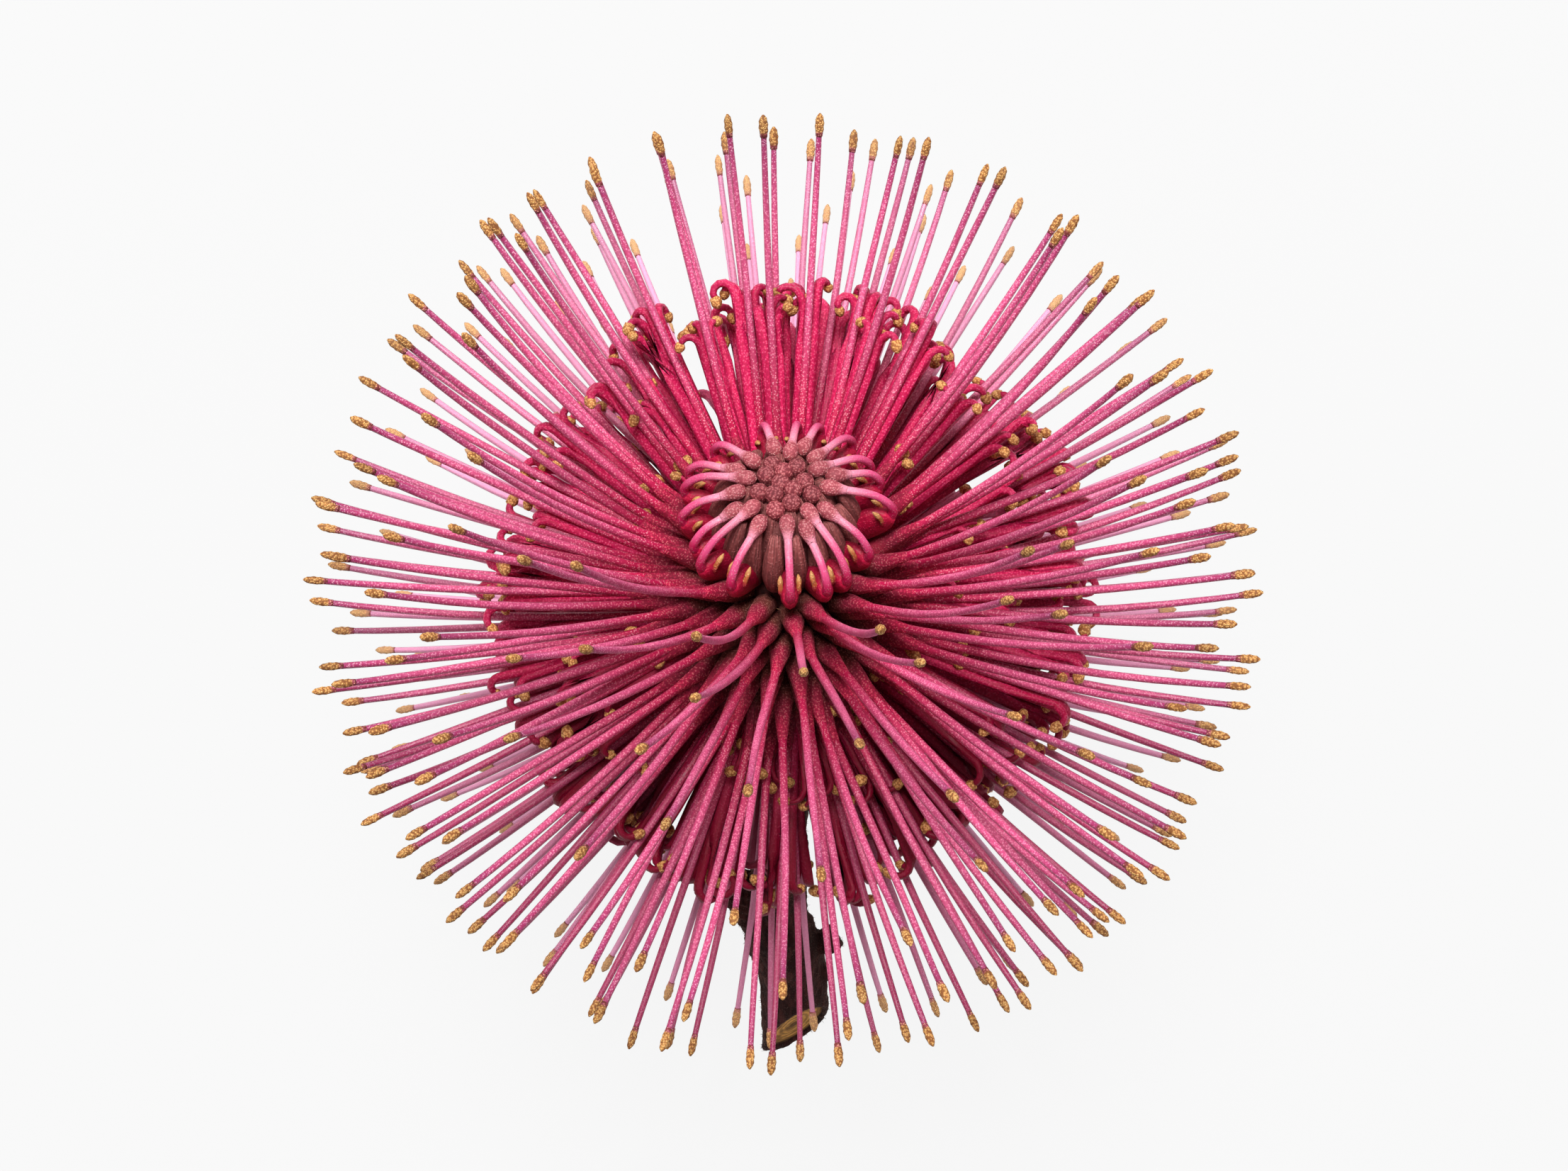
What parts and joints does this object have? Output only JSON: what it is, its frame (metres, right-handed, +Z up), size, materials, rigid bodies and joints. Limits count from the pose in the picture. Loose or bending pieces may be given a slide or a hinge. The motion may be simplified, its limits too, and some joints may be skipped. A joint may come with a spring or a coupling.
{
  "type": "pincushion protea cut flower",
  "caption": "Pincushion protea head on a short pruned stem, lying on a surface: rolled-back crimson florets, long pink pollen-tipped styles and a dome of closed buds.",
  "frame": {"origin": "on the surface that the flower lies on, midway along and across the whole flower", "axes": "+Z up; the head faces -Y and upwards, and the stem trails down towards +Y, which is the longest way"},
  "size_m": [0.1094, 0.1168, 0.1049],
  "materials": {
    "floret": "satin, fresh waxy plant tissue",
    "bud": "matt, finely downy plant tissue",
    "stem": "matt, downy bark with a pale cut end"
  },
  "bodies": {
    "root": {"open_florets": "floret", "bud_dome": "bud", "stem": "stem"}
  },
  "joints": []
}
